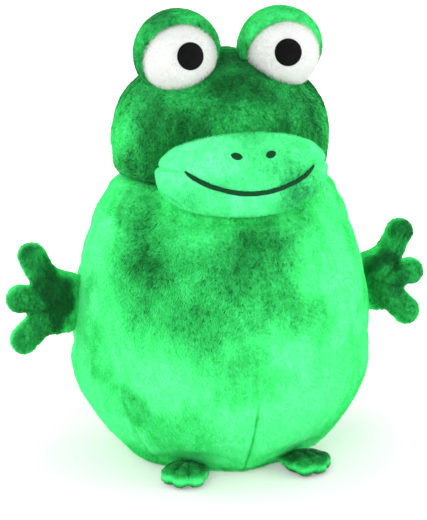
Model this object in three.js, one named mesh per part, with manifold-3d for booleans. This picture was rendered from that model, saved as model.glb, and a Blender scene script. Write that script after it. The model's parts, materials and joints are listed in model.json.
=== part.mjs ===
// A sitting plush frog about 275 mm tall, in millimetres. +Z is up and the frog faces -Y, so its left is +X.
// The origin is the middle of the flat seat that it rests on. Each cover is cut from cloth panels that meet at
// seams, and holds its own filling.
import * as THREE from "three";
import { mergeVertices } from "three/addons/utils/BufferGeometryUtils.js";
import Module from "manifold-3d";

const wasm = await Module();
wasm.setup();

// Cloth and seams
const clothThickness = 2.6;
const seamGap = 0.3; // between panels, and between a piece and what it is sewn to

// Body: a pear that swells from the seat to the belly and draws in to the neck
const seatHalfWidth = 54;
const bellyHalfWidth = 90.5;
const bellyHeight = 65;
const bellyFrontDepth = 83;
const bellyBackDepth = 70;
const neckHeight = 175;
const dartHeight = 58;
const dartWidth = 1.2;
const dartAngles = [-55, 0, 55]; // degrees from straight ahead

// How strongly the outline keeps its direction, as shares of the swell (out) and of the height (up)
const seatPull = { out: 0.32, up: 0.22 };
const bellyPull = { down: 0.42, up: 0.42 };
const neckPull = { out: 0.62, down: 0.2 };

// Weighting pouch in the seat
const pouchHalfWidth = 34;
const pouchHeight = 22;

// Head: a wide, slightly flattened egg cut off at the neck
const headHalfWidth = 64;
const headHalfHeight = 52;
const headFrontDepth = 57;
const headBackDepth = 50;
const headDrop = 20; // from the head's middle down to the neck
const headFullness = 2.2; // 2 is an ellipse, more is squarer

// Muzzle, mouth and nostrils
const muzzleHalfWidth = 50;
const muzzleHalfHeight = 28;
const muzzleHalfDepth = 30;
const muzzleReach = 20; // in front of the head
const muzzleDrop = 12; // below the head's middle
const mouthHalfWidth = 39;
const mouthDrop = 6;
const mouthSmile = 12; // how far the corners rise above the middle
const mouthThreadRadius = 1.5;
const nostrilRadius = 3;
const nostrilSpacing = 20;
const nostrilRise = 15;

// Eyes: a stuffed ball in a stuffed hood
const eyeBallRadius = 20.5;
const eyeSpacing = 62;
const eyeForward = 22;
const eyeSink = 10.5; // how deep the ball sits in the head
const hoodThickness = 4.5;
const hoodBack = 3; // how far the hood's middle lies behind the ball's, so it is thickest at the back
const hoodRise = 1.5; // and how far above
const hoodLean = 20; // degrees that its rim leans forward over the ball
const pupilRadius = 8;
const pupilThickness = 1.2;
const pupilRise = 8; // degrees above straight ahead
const pupilTurn = 6; // degrees towards the nose

// Arms: a flat stuffed palm sewn along its root to the body's side
const armHeight = 98;
const armRootHalfWidth = 19;
const armPalmHalfWidth = 21;
const armPalmThickness = 17;
const armLength = 32;
const fingerRadius = 8.2;
const fingerFlatness = 0.85;
const fingerHeart = 12.5; // out from the root, where the fingers spread from
const upperFingerReach = 41;
const middleFingerReach = 31;
const lowerFingerReach = 38.5;
const fingers = [
  { turn: 56, reach: upperFingerReach },
  { turn: 2, reach: middleFingerReach },
  { turn: -54, reach: lowerFingerReach },
];

// Feet: a flat stuffed pad sewn to the body's front, just above the floor
const footTurn = 32; // degrees outwards from straight ahead
const footLift = 0.3; // under the sole
const footRootHalfWidth = 10;
const footPadHalfWidth = 13.5;
const footPadThickness = 12;
const footLength = 22;
const toeRadius = 5.2;
const toeFlatness = 0.9;
const toeHeart = 9;
const middleToeReach = 20;
const sideToeReach = 19;
const toes = [
  { turn: 34, reach: sideToeReach },
  { turn: 0, reach: middleToeReach },
  { turn: -34, reach: sideToeReach },
];

// The root of an arm or foot narrows to a rounded edge, which is its hinge
const rootEdgeRadius = 1.6;

// How a pad grows from its root: share of its length, of the way from root width to full width, of its thickness
const padRise = [
  { along: 0.2, widen: 0.35, swell: 0.45 },
  { along: 0.4, widen: 0.8, swell: 0.8 },
  { along: 0.62, widen: 1, swell: 1 },
];
// How it closes again past its widest place: share of its length, of its width and of its thickness
const padFall = [
  { along: 0.82, width: 0.84, swell: 0.9 },
  { along: 0.95, width: 0.5, swell: 0.6 },
  { along: 1, width: 0.12, swell: 0.2 },
];

// Facets: the inner forms, under a cloth's thickness, are coarser than the outer ones
const bodySides = 32;
const bodyRings = 14;
const headRings = 11;
const innerSides = 16;
const innerRings = 7;
const muzzleSides = 24;
const muzzleRings = 14;
const eyeFacets = { sides: 16, rings: 10 };
const innerEyeFacets = { sides: 12, rings: 6 };
const pupilSides = 16;
const knotSides = 10;
const padFacets = { sides: 12, lobeSides: 8, lobeArcs: 3 };
const innerPadFacets = { sides: 8, lobeSides: 6, lobeArcs: 2 };
const pouchArcs = 3;
const mouthPoints = 9;
const mouthSteps = 18;
const mouthSides = 6;
const vertexTolerance = 1e-4;
const beyond = 400; // a cutting block's size, larger than the toy

const plush = new THREE.MeshStandardMaterial({ color: 0x35c96a, roughness: 0.95, metalness: 0 });
const palePlush = new THREE.MeshStandardMaterial({ color: 0x62eca0, roughness: 0.95, metalness: 0 });
const whitePlush = new THREE.MeshStandardMaterial({ color: 0xf2f2ee, roughness: 0.95, metalness: 0 });
const felt = new THREE.MeshStandardMaterial({ color: 0x0b0c0e, roughness: 0.9, metalness: 0 });
const thread = new THREE.MeshStandardMaterial({ color: 0x0d5a2a, roughness: 0.6, metalness: 0 });
const fibre = new THREE.MeshStandardMaterial({ color: 0xf4f4f0, roughness: 1, metalness: 0 });
const pouchCloth = new THREE.MeshStandardMaterial({ color: 0xd9d2c3, roughness: 0.9, metalness: 0 });

const radians = THREE.MathUtils.degToRad;

// A closed triangle mesh as a solid for cutting and joining. Triangles that close up to a line are dropped.
function toSolid(geometry) {
  const bare = new THREE.BufferGeometry();
  bare.setAttribute("position", geometry.getAttribute("position"));
  bare.setIndex(geometry.getIndex());
  const merged = mergeVertices(bare, vertexTolerance);
  const index = merged.getIndex().array;
  const kept = [];
  for (let i = 0; i < index.length; i += 3) {
    const [a, b, c] = [index[i], index[i + 1], index[i + 2]];
    if (a !== b && b !== c && c !== a) kept.push(a, b, c);
  }
  return new wasm.Manifold(
    new wasm.Mesh({
      numProp: 3,
      vertProperties: new Float32Array(merged.getAttribute("position").array),
      triVerts: new Uint32Array(kept),
    }),
  );
}

function toMesh(name, solid, material) {
  const { vertProperties, triVerts, numProp } = solid.getMesh();
  const corners = new Float32Array(triVerts.length * 3);
  triVerts.forEach((vertex, i) => {
    corners.set(vertProperties.subarray(vertex * numProp, vertex * numProp + 3), i * 3);
  });
  const geometry = new THREE.BufferGeometry();
  geometry.setAttribute("position", new THREE.BufferAttribute(corners, 3));
  geometry.computeVertexNormals();
  const mesh = new THREE.Mesh(geometry, material);
  mesh.name = name;
  return mesh;
}

// A closed skin over rings of equally many points, each ring anticlockwise about the way the rings advance.
function loft(rings) {
  const sides = rings[0].length;
  const middle = (ring) => ring.reduce((sum, p) => sum.add(p), new THREE.Vector3()).divideScalar(sides);
  const points = [...rings.flat(), middle(rings[0]), middle(rings.at(-1))];
  const [startCap, endCap] = [points.length - 2, points.length - 1];
  const lastRing = (rings.length - 1) * sides;
  const index = [];
  for (let side = 0; side < sides; side++) {
    const next = (side + 1) % sides;
    index.push(startCap, next, side, endCap, lastRing + side, lastRing + next);
    for (let ring = 0; ring < rings.length - 1; ring++) {
      const [low, high] = [ring * sides, (ring + 1) * sides];
      index.push(low + side, low + next, high + next, low + side, high + next, high + side);
    }
  }
  return new THREE.BufferGeometry().setFromPoints(points).setIndex(index);
}

// A level ring whose front half, towards -Y, and back half have their own depths.
function levelRing(halfWidth, frontDepth, backDepth, height, sides) {
  return Array.from({ length: sides }, (_, i) => {
    const turn = (2 * Math.PI * i) / sides;
    const depth = Math.sin(turn) < 0 ? frontDepth : backDepth;
    return new THREE.Vector3(halfWidth * Math.cos(turn), depth * Math.sin(turn), height);
  });
}

function block(low, high) {
  const size = high.clone().sub(low);
  const centre = high.clone().add(low).divideScalar(2);
  return toSolid(new THREE.BoxGeometry(...size).translate(...centre));
}

// Everything between two heights
function layer(low, high) {
  return block(new THREE.Vector3(-beyond, -beyond, low), new THREE.Vector3(beyond, beyond, high));
}

// One side of the plane at right angles to an axis: sign +1 keeps what lies above half a seam, -1 what lies below.
function sideOf(axis, sign) {
  const low = new THREE.Vector3(-beyond, -beyond, -beyond);
  const high = new THREE.Vector3(beyond, beyond, beyond);
  (sign > 0 ? low : high)[axis] = (sign * seamGap) / 2;
  return block(low, high);
}

// The head's half-width at the neck sets the body's, so the two covers line up there.
const headMiddle = neckHeight + headDrop;
const neckHalfWidth =
  headHalfWidth * (1 - (headDrop / headHalfHeight) ** headFullness) ** (1 / headFullness);

// The body's outline as half-width against height: seat to belly, then belly to neck
const lowerOutline = new THREE.CubicBezierCurve(
  new THREE.Vector2(seatHalfWidth, 0),
  new THREE.Vector2(seatHalfWidth + seatPull.out * (bellyHalfWidth - seatHalfWidth), seatPull.up * bellyHeight),
  new THREE.Vector2(bellyHalfWidth, bellyHeight - bellyPull.down * bellyHeight),
  new THREE.Vector2(bellyHalfWidth, bellyHeight),
);
const shoulder = neckHeight - bellyHeight;
const upperOutline = new THREE.CubicBezierCurve(
  new THREE.Vector2(bellyHalfWidth, bellyHeight),
  new THREE.Vector2(bellyHalfWidth, bellyHeight + bellyPull.up * shoulder),
  new THREE.Vector2(
    neckHalfWidth + neckPull.out * (bellyHalfWidth - neckHalfWidth),
    neckHeight - neckPull.down * shoulder,
  ),
  new THREE.Vector2(neckHalfWidth, neckHeight),
);

// A point of the outline with its inward normal, at a share from 0 at the seat to 1 at the neck
function outlineAt(share) {
  const lower = share < 0.5;
  const curve = lower ? lowerOutline : upperOutline;
  const t = lower ? share * 2 : share * 2 - 1;
  const tangent = curve.getTangent(t);
  return { point: curve.getPoint(t), tangent, inward: new THREE.Vector2(-tangent.y, tangent.x) };
}

// The outline's share at a height, found by halving
function shareAtHeight(height) {
  let [low, high] = [0, 1];
  for (let i = 0; i < 40; i++) {
    const half = (low + high) / 2;
    if (outlineAt(half).point.y < height) low = half;
    else high = half;
  }
  return low;
}

// The body drawn in by inset, and run on past the seat and the neck, so that a layer cuts it off cleanly
function bodyForm(inset, sides, ringCount) {
  const ringAt = (share, run) => {
    const { point, inward } = outlineAt(share);
    const drawnIn = inset * inward.x;
    return levelRing(
      point.x + drawnIn,
      (point.x * bellyFrontDepth) / bellyHalfWidth + drawnIn,
      (point.x * bellyBackDepth) / bellyHalfWidth + drawnIn,
      point.y + inset * inward.y + run,
      sides,
    );
  };
  const runOn = clothThickness * 3;
  const rings = Array.from({ length: ringCount + 1 }, (_, i) => ringAt(i / ringCount, 0));
  return toSolid(loft([ringAt(0, -runOn), ...rings, ringAt(1, runOn)]));
}

// The head drawn in by inset
function headForm(inset, sides, ringCount) {
  const [halfWidth, halfHeight] = [headHalfWidth - inset, headHalfHeight - inset];
  const rings = Array.from({ length: ringCount }, (_, i) => {
    const rise = Math.PI * ((i + 0.5) / ringCount - 0.5);
    const out = Math.cos(rise) ** (2 / headFullness);
    const up = Math.sign(rise) * Math.abs(Math.sin(rise)) ** (2 / headFullness);
    const [front, back] = [headFrontDepth - inset, headBackDepth - inset];
    return levelRing(halfWidth * out, front * out, back * out, headMiddle + halfHeight * up, sides);
  });
  return toSolid(loft(rings));
}

// Depth of the body's front and height of the head's top, where other pieces are sewn on
const bodyFrontAt = (height) =>
  (outlineAt(shareAtHeight(height)).point.x * bellyFrontDepth) / bellyHalfWidth;
function headTopAt(x, forward) {
  const out = Math.hypot(x / headHalfWidth, forward / headFrontDepth);
  return headMiddle + headHalfHeight * (1 - out ** headFullness) ** (1 / headFullness);
}

// Head and body grown by a seam's gap, to cut what is sewn to them
const headSkin = headForm(-seamGap, bodySides, headRings);
const bodySkin = bodyForm(-seamGap, bodySides, bodyRings).intersect(layer(-beyond, neckHeight));

// Body cover, filling and pouch
function makeBody() {
  const coverBottom = clothThickness + seamGap;
  const neckSeam = neckHeight - seamGap / 2;
  const outside = bodyForm(0, bodySides, bodyRings);
  const cover = outside
    .intersect(layer(coverBottom, neckSeam))
    .subtract(bodyForm(clothThickness, innerSides, innerRings));
  const basePanel = outside.intersect(layer(0, clothThickness));

  const [front, back] = [sideOf("y", -1), sideOf("y", 1)].map((half) => cover.intersect(half));
  const dartedFront = dartAngles.reduce((panel, angle) => panel.subtract(dart(angle)), front);

  const pouch = pouchForm(0);
  const filling = bodyForm(clothThickness + seamGap, innerSides, innerRings)
    .intersect(layer(coverBottom, neckSeam))
    .subtract(pouchForm(seamGap));

  const group = new THREE.Group();
  group.add(
    toMesh("body_front_panel", dartedFront, plush),
    toMesh("body_back_left_panel", back.intersect(sideOf("x", 1)), plush),
    toMesh("body_back_right_panel", back.intersect(sideOf("x", -1)), plush),
    toMesh("base_panel", basePanel, plush),
    toMesh("body_filling", filling, fibre),
    toMesh("weight_pouch", pouch, pouchCloth),
  );
  return group;
}

// A long thin wedge that opens the front panel from its lower edge up to the dart's point
function dart(angle) {
  const wedge = new THREE.Shape([
    new THREE.Vector2(-dartWidth / 2, 0),
    new THREE.Vector2(dartWidth / 2, 0),
    new THREE.Vector2(0, dartHeight),
  ]);
  const geometry = new THREE.ExtrudeGeometry(wedge, { depth: beyond, bevelEnabled: false });
  geometry.rotateX(Math.PI / 2).rotateZ(radians(angle));
  return toSolid(geometry);
}

// A round cloth bag that lies on the base panel, grown by spare
function pouchForm(spare) {
  const half = pouchHeight / 2;
  const profile = new THREE.Path();
  profile.moveTo(0, -spare);
  profile.lineTo(pouchHalfWidth - half, -spare);
  profile.absarc(pouchHalfWidth - half, half, half + spare, -Math.PI / 2, Math.PI / 2, false);
  profile.lineTo(0, pouchHeight + spare);
  const lathe = new THREE.LatheGeometry(profile.getPoints(pouchArcs), innerSides);
  return toSolid(lathe.rotateX(Math.PI / 2).translate(0, 0, clothThickness + seamGap));
}

// Head cover and filling
function makeHead() {
  const aboveNeck = layer(neckHeight + seamGap / 2, beyond);
  const cover = headForm(0, bodySides, headRings)
    .subtract(headForm(clothThickness, innerSides, innerRings))
    .intersect(aboveNeck);
  const back = cover.intersect(sideOf("y", 1));
  const filling = headForm(clothThickness + seamGap, innerSides, innerRings).intersect(aboveNeck);
  const group = new THREE.Group();
  group.add(
    toMesh("face_panel", cover.intersect(sideOf("y", -1)), plush),
    toMesh("head_back_left_panel", back.intersect(sideOf("x", 1)), plush),
    toMesh("head_back_right_panel", back.intersect(sideOf("x", -1)), plush),
    toMesh("head_filling", filling, fibre),
  );
  return group;
}

// Muzzle pad with its embroidery
const muzzleMiddle = new THREE.Vector3(
  0,
  muzzleHalfDepth - headFrontDepth - muzzleReach,
  headMiddle - muzzleDrop,
);

function muzzleForm(spare) {
  const ball = new THREE.SphereGeometry(1, muzzleSides, muzzleRings).rotateX(Math.PI / 2);
  ball.scale(muzzleHalfWidth + spare, muzzleHalfDepth + spare, muzzleHalfHeight + spare);
  return toSolid(ball.translate(...muzzleMiddle));
}

// The point of the muzzle's front at a place across and up from its middle, stood off by lift
function onMuzzle(across, up, lift) {
  const bulge = 1 - (across / muzzleHalfWidth) ** 2 - (up / muzzleHalfHeight) ** 2;
  const forward = (muzzleHalfDepth + lift) * Math.sqrt(bulge);
  return new THREE.Vector3(across, -forward, up).add(muzzleMiddle);
}

function makeMuzzle() {
  const skin = muzzleForm(seamGap);
  const mouthLine = new THREE.CatmullRomCurve3(
    Array.from({ length: mouthPoints }, (_, i) => {
      const share = (2 * i) / (mouthPoints - 1) - 1;
      const up = mouthSmile * share ** 2 - mouthDrop;
      return onMuzzle(share * mouthHalfWidth, up, mouthThreadRadius / 2);
    }),
  );
  const threadRound = new THREE.Shape().absarc(0, 0, mouthThreadRadius, 0, 2 * Math.PI);
  const mouth = new THREE.ExtrudeGeometry(new THREE.Shape(threadRound.getPoints(mouthSides / 2)), {
    steps: mouthSteps,
    extrudePath: mouthLine,
    bevelEnabled: false,
  });
  const group = new THREE.Group();
  group.add(
    toMesh("muzzle_pad", muzzleForm(0).subtract(headSkin).subtract(bodySkin), palePlush),
    toMesh("mouth_stitching", toSolid(mouth).subtract(skin), thread),
  );
  for (const [name, side] of [["left_nostril", 1], ["right_nostril", -1]]) {
    const place = onMuzzle((side * nostrilSpacing) / 2, nostrilRise, 0);
    const knot = new THREE.SphereGeometry(nostrilRadius, knotSides, knotSides / 2).translate(...place);
    group.add(toMesh(name, toSolid(knot).subtract(skin), thread));
  }
  return group;
}

// One eye about its ball's middle: side is +1 for the left
function makeEye(side, label) {
  const middle = new THREE.Vector3((side * eyeSpacing) / 2, -eyeForward, 0);
  middle.z = headTopAt(middle.x, eyeForward) + eyeBallRadius - eyeSink;
  const head = headSkin.translate(-middle.x, -middle.y, -middle.z);
  const ball = (radius, { sides, rings } = eyeFacets) =>
    toSolid(new THREE.SphereGeometry(radius, sides, rings).rotateX(Math.PI / 2));

  const rimCut = new THREE.BoxGeometry(beyond, beyond, beyond).translate(0, -beyond / 2, 0);
  const openFront = toSolid(rimCut.rotateX(radians(hoodLean)));
  const hood = ball(eyeBallRadius + hoodThickness)
    .translate(0, hoodBack, hoodRise)
    .subtract(ball(eyeBallRadius + seamGap))
    .subtract(openFront)
    .subtract(head);
  const cover = ball(eyeBallRadius).subtract(ball(eyeBallRadius - clothThickness, innerEyeFacets)).subtract(head);
  const filling = ball(eyeBallRadius - clothThickness - seamGap, innerEyeFacets).subtract(head);

  const disc = new THREE.CylinderGeometry(pupilRadius, pupilRadius, eyeBallRadius * 2, pupilSides);
  disc.translate(0, -eyeBallRadius, 0);
  disc.rotateX(radians(-pupilRise)).rotateZ(radians(-side * pupilTurn));
  const pupil = ball(eyeBallRadius + seamGap + pupilThickness)
    .subtract(ball(eyeBallRadius + seamGap))
    .intersect(toSolid(disc));

  const group = new THREE.Group();
  group.position.copy(middle);
  group.add(
    toMesh(label + "_eye_hood", hood, plush),
    toMesh(label + "_eye_ball", cover, whitePlush),
    toMesh(label + "_eye_filling", filling, fibre),
    toMesh(label + "_pupil", pupil, felt),
  );
  return group;
}

// A flat stuffed pad that points along +X from a root at the origin, is thin along Y, and ends in rounded lobes.
// It is drawn in by inset on every side.
function padForm(pad, inset) {
  const facets = inset > 0 ? innerPadFacets : padFacets;
  const half = pad.thickness / 2;
  const stations = [
    { at: 0, width: pad.rootHalfWidth, thin: rootEdgeRadius / 2 },
    { at: rootEdgeRadius, width: pad.rootHalfWidth, thin: rootEdgeRadius },
    ...padRise.map(({ along, widen, swell }) => ({
      at: along * pad.length,
      width: THREE.MathUtils.lerp(pad.rootHalfWidth, pad.halfWidth, widen),
      thin: swell * half,
    })),
    ...padFall.map(({ along, width, swell }) => ({
      at: along * pad.length,
      width: width * pad.halfWidth,
      thin: swell * half,
    })),
  ];
  const rings = stations
    .map(({ at, width, thin }) => ({ at, width: width - inset, thin: thin - inset }))
    .filter(({ width, thin }) => Math.min(width, thin) > seamGap)
    .map(({ at, width, thin }) =>
      Array.from({ length: facets.sides }, (_, i) => {
        const turn = (2 * Math.PI * i) / facets.sides;
        return new THREE.Vector3(at, thin * Math.cos(turn), width * Math.sin(turn));
      }),
    );
  const lobes = pad.lobes.map((lobe) => lobeForm(pad, lobe, inset, facets));
  return wasm.Manifold.union([toSolid(loft(rings)), ...lobes]);
}

// A finger or toe: a round-ended rod from the pad's heart, turned in the pad's plane and flattened along Y
function lobeForm(pad, { turn, reach }, inset, { lobeArcs, lobeSides }) {
  const straight = reach - pad.lobeRadius;
  const rod = new THREE.CapsuleGeometry(pad.lobeRadius - inset, straight, lobeArcs, lobeSides);
  const flatten = (pad.lobeRadius * pad.flatness - inset) / (pad.lobeRadius - inset);
  rod.translate(0, straight / 2, 0).scale(1, 1, flatten);
  rod.rotateX(Math.PI / 2).rotateY(Math.PI / 2 - radians(turn));
  return toSolid(rod.translate(pad.heart, 0, 0));
}

// A pad's two panels, sewn round its edge, and its filling, all in the frame of its holder, which stands on the
// body. The body cuts the pad where they meet.
function sewPad(holder, names, pad) {
  holder.updateWorldMatrix(true, false);
  const body = bodySkin.transform(holder.matrixWorld.clone().invert().elements);
  const form = (inset) => padForm(pad, inset).translate(seamGap, 0, 0).subtract(body);
  const cover = form(0).subtract(padForm(pad, clothThickness).translate(seamGap, 0, 0));
  holder.add(
    toMesh(names[0], cover.intersect(sideOf("y", -1)), plush),
    toMesh(names[1], cover.intersect(sideOf("y", 1)), plush),
    toMesh(names[2], form(clothThickness + seamGap), fibre),
  );
}

const armPad = {
  rootHalfWidth: armRootHalfWidth,
  halfWidth: armPalmHalfWidth,
  thickness: armPalmThickness,
  length: armLength,
  heart: fingerHeart,
  lobes: fingers,
  lobeRadius: fingerRadius,
  flatness: fingerFlatness,
};
const footPad = {
  rootHalfWidth: footRootHalfWidth,
  halfWidth: footPadHalfWidth,
  thickness: footPadThickness,
  length: footLength,
  heart: toeHeart,
  lobes: toes,
  lobeRadius: toeRadius,
  flatness: toeFlatness,
};

// An arm leaves the body's side square to it. Its root is a seam that lies along the side.
function makeArm(side, label) {
  const { point, tangent } = outlineAt(shareAtHeight(armHeight));
  const lean = Math.atan2(-tangent.x, tangent.y);
  const group = new THREE.Group();
  group.position.set(side * point.x, 0, point.y);
  group.rotation.set(0, 0, side > 0 ? 0 : Math.PI);
  const outwards = new THREE.Group();
  outwards.rotation.y = -lean;
  group.add(outwards);
  const panels = side > 0 ? ["front_panel", "back_panel"] : ["back_panel", "front_panel"];
  sewPad(outwards, [...panels, "filling"].map((piece) => `${label}_arm_${piece}`), armPad);
  return group;
}

// A foot leaves the body's front square to it, turned outwards. Its root is a seam along the body's lower curve.
function makeFoot(side, label) {
  const middle = footLift + footPadThickness / 2;
  const frontDepth = bodyFrontAt(middle);
  const halfWidth = outlineAt(shareAtHeight(middle)).point.x;
  const round = Math.atan((Math.tan(radians(footTurn)) * frontDepth) / halfWidth);
  const group = new THREE.Group();
  group.position.set(side * halfWidth * Math.sin(round), -frontDepth * Math.cos(round), middle);
  group.rotation.z = -Math.PI / 2 + side * radians(footTurn);
  const flat = new THREE.Group();
  flat.rotation.x = -Math.PI / 2;
  group.add(flat);
  sewPad(flat, ["top_panel", "sole_panel", "filling"].map((piece) => `${label}_foot_${piece}`), footPad);
  return group;
}

const frog = new THREE.Group();
frog.add(
  makeBody(),
  makeHead(),
  makeMuzzle(),
  makeEye(1, "left"),
  makeEye(-1, "right"),
  makeArm(1, "left"),
  makeArm(-1, "right"),
  makeFoot(1, "left"),
  makeFoot(-1, "right"),
);

export default frog;
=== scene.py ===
"""Dresses a sitting plush frog: short-pile covers with sewn seams, felt pupils and an embroidered mouth.

Lengths are in metres, and MM turns millimetres into them. The frog faces -Y and its left is +X.
"""

import json
from math import asin, cos, pi, radians, sin
from types import SimpleNamespace

import bpy
import numpy as np
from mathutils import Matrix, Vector
from mathutils.bvhtree import BVHTree


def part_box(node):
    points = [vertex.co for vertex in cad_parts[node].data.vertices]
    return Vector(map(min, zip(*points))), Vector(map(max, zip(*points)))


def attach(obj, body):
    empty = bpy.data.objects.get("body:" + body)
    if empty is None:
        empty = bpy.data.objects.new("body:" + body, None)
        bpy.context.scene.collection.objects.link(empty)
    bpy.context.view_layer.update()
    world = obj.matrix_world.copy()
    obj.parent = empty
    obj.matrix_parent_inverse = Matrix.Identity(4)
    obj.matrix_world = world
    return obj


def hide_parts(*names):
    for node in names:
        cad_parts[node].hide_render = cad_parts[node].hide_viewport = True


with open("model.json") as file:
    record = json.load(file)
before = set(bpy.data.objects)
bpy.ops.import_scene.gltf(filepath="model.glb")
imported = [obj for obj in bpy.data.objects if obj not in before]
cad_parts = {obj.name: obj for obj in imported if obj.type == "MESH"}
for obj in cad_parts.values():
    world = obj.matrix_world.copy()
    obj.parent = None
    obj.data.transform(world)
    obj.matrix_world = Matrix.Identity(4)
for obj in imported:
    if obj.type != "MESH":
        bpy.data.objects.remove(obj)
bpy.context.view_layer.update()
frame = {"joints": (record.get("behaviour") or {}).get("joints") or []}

MM = 0.001
SEAM_GAP = 0.3 * MM

# Body, as the solids have it
BODY_LOW, BODY_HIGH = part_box("body_front_panel")
BELLY_HALF_WIDTH = BODY_HIGH.x
BELLY_FRONT = -BODY_LOW.y
BELLY_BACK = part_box("body_back_left_panel")[1].y
BODY_ROUND = BELLY_HALF_WIDTH, BELLY_FRONT, BELLY_BACK
BELLY_HEIGHT = 65 * MM
SEAT_HALF_WIDTH = 54 * MM
BASE_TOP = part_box("base_panel")[1].z
SEAT_PULL_OUT, SEAT_PULL_UP = 0.32, 0.22
BELLY_PULL_DOWN, BELLY_PULL_UP = 0.42, 0.42
NECK_PULL_OUT, NECK_PULL_DOWN = 0.62, 0.2
BODY_RINGS, BODY_SIDES = 104, 184
DART_ANGLES = (-55, 0, 55)
DART_HEIGHT, DART_FADE = 58 * MM, 14 * MM
SEAM_FADE = 6 * MM
SEAT_HELD, NECK_HELD = 2 * MM, 5 * MM
CLOSING_LOW, CLOSING_HIGH, CLOSING_SPACING = 42 * MM, 78 * MM, 4.2 * MM
CLOSING_REACH = np.array([1.9, 0, 0.7]) * MM
# Round a limb's root the cover is held and drawn in: how far round it, how far up and how deep
ARM_DIMPLE = (9 * MM, 26 * MM, 0.4 * MM)
FOOT_DIMPLE = (12 * MM, 14 * MM, 1.2 * MM)

# Head
FACE_LOW, FACE_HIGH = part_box("face_panel")
HEAD_HALF_WIDTH = FACE_HIGH.x
HEAD_FRONT = -FACE_LOW.y
HEAD_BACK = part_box("head_back_left_panel")[1].y
HEAD_ROUND = HEAD_HALF_WIDTH, HEAD_FRONT, HEAD_BACK
HEAD_HALF_HEIGHT = 52 * MM
HEAD_FULLNESS = 2.2
NECK_HEIGHT = (BODY_HIGH.z + FACE_LOW.z) / 2
HEAD_MIDDLE = FACE_HIGH.z - HEAD_HALF_HEIGHT
NECK_DROP = (HEAD_MIDDLE - NECK_HEIGHT) / HEAD_HALF_HEIGHT
NECK_SHARE = (1 - NECK_DROP**HEAD_FULLNESS) ** (1 / HEAD_FULLNESS)
HEAD_RINGS, HEAD_SIDES = 64, 140

# Muzzle
MUZZLE_LOW, MUZZLE_HIGH = (np.array(corner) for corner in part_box("muzzle_pad"))
MUZZLE_HALF_WIDTH = MUZZLE_HIGH[0]
MUZZLE_HALF_DEPTH = 30 * MM
MUZZLE_HALF_HEIGHT = 28 * MM
MUZZLE_EDGE = 3 * MM
MUZZLE_MIDDLE = np.array([0, MUZZLE_LOW[1] + MUZZLE_HALF_DEPTH, HEAD_MIDDLE - 12 * MM])
MOUTH_HALF_WIDTH = 39 * MM
MOUTH_DROP = 6 * MM
MOUTH_SMILE = 12 * MM
MOUTH_HALF_BAND = 1.7 * MM
MOUTH_TAPER = 6 * MM
STITCH_SPACING = 0.55 * MM
STITCH_LENGTH = 3 * MM
NOSTRIL_HALF_WIDTH, NOSTRIL_HALF_HEIGHT = 3.0 * MM, 2.3 * MM
NOSTRIL_SLANT = 18

# Eyes
EYE_RADIUS, EYE_EDGE = 20.5 * MM, 5 * MM
HOOD_THICKNESS, HOOD_RIM, HOOD_EDGE = 4.5 * MM, 4 * MM, 2.5 * MM
HOOD_BACK = 3 * MM
HOOD_RISE = 1.5 * MM
HOOD_LEAN = radians(20)
HOOD_LIP = 2 * MM
PUPIL_RADIUS, PUPIL_THICKNESS, PUPIL_EDGE = 8 * MM, 1.2 * MM, 0.6 * MM
PUPIL_RISE, PUPIL_TURN = radians(8), radians(6)

# Arms and feet: flat pads, with stations from the root to the far end
ROOT_EDGE = 1.6 * MM
PAD_RISE = ((0.2, 0.35, 0.45), (0.4, 0.8, 0.8), (0.62, 1, 1))
PAD_FALL = ((0.82, 0.84, 0.9), (0.95, 0.5, 0.6), (1, 0.12, 0.2))
PAD_LINE_POINTS, PAD_WEAR = 120, 60
# Each lobe has its angle and its reach from the heart. Nap is how light it lies at the root, set low,
# partly as painted shade, sewn is how far out the root is held, and step is the size of the cells that the
# pad is made of
ARM = SimpleNamespace(
    root=19 * MM,
    palm=21 * MM,
    thickness=17 * MM,
    length=32 * MM,
    heart=12.5 * MM,
    lobes=((56, 41 * MM), (2, 31 * MM), (-54, 38.5 * MM)),
    radius=8.2 * MM,
    flatness=0.85,
    # Low nap: partly painted shade
    nap=0.09,
    lumps=0.5,
    crease=1.4,
    pucker=0.5,
    swell=0.05,
    step=1.5 * MM,
    sewn=3.5 * MM,
)
FOOT = SimpleNamespace(
    root=10 * MM,
    palm=13.5 * MM,
    thickness=12 * MM,
    length=22 * MM,
    heart=9 * MM,
    lobes=((34, 19 * MM), (0, 20 * MM), (-34, 19 * MM)),
    radius=5.2 * MM,
    flatness=0.9,
    # Very low nap: painted shade, as in the shadow under the belly
    nap=0.02,
    lumps=0.2,
    crease=0.6,
    pucker=0.15,
    swell=0.02,
    step=1.1 * MM,
    sewn=9 * MM,
)


def hashed(cells, seed):
    """A number from 0 to 1 for each whole-numbered cell."""
    x, y, z = (cells[..., i].astype(np.int64) for i in range(3))
    mixed = (x * 73856093) ^ (y * 19349663) ^ (z * 83492791) ^ (seed * 912931)
    mixed = ((mixed ^ (mixed >> 13)) * 1274126177) & 0xFFFFFFFF
    return ((mixed ^ (mixed >> 15)) & 0xFFFF) / 65535.0


def noise(points, size, seed=0):
    """Smooth noise from -1 to 1 with features of about that size, which may differ along X, Y and Z."""
    scaled = points / size
    cell = np.floor(scaled)
    share = scaled - cell
    share = share**3 * (share * (share * 6 - 15) + 10)
    total = np.zeros(points.shape[:-1])
    for corner in np.ndindex(2, 2, 2):
        weight = np.prod(np.where(corner, share, 1 - share), axis=-1)
        total += weight * hashed(cell + corner, seed)
    return total * 2 - 1


def fractal(points, size, octaves, seed=0):
    """Noise with finer noise of half the strength on top, octave by octave."""
    return sum(noise(points, np.asarray(size) / 2**i, seed + i) / 2**i for i in range(octaves))


def bell(distance, width):
    return np.exp(-((distance / width) ** 2))


def rise(distance, reach):
    """From 0 at no distance to 1 at the reach."""
    return np.clip(distance / reach, 0, 1)


def length(vectors):
    return np.linalg.norm(vectors, axis=-1)


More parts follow.
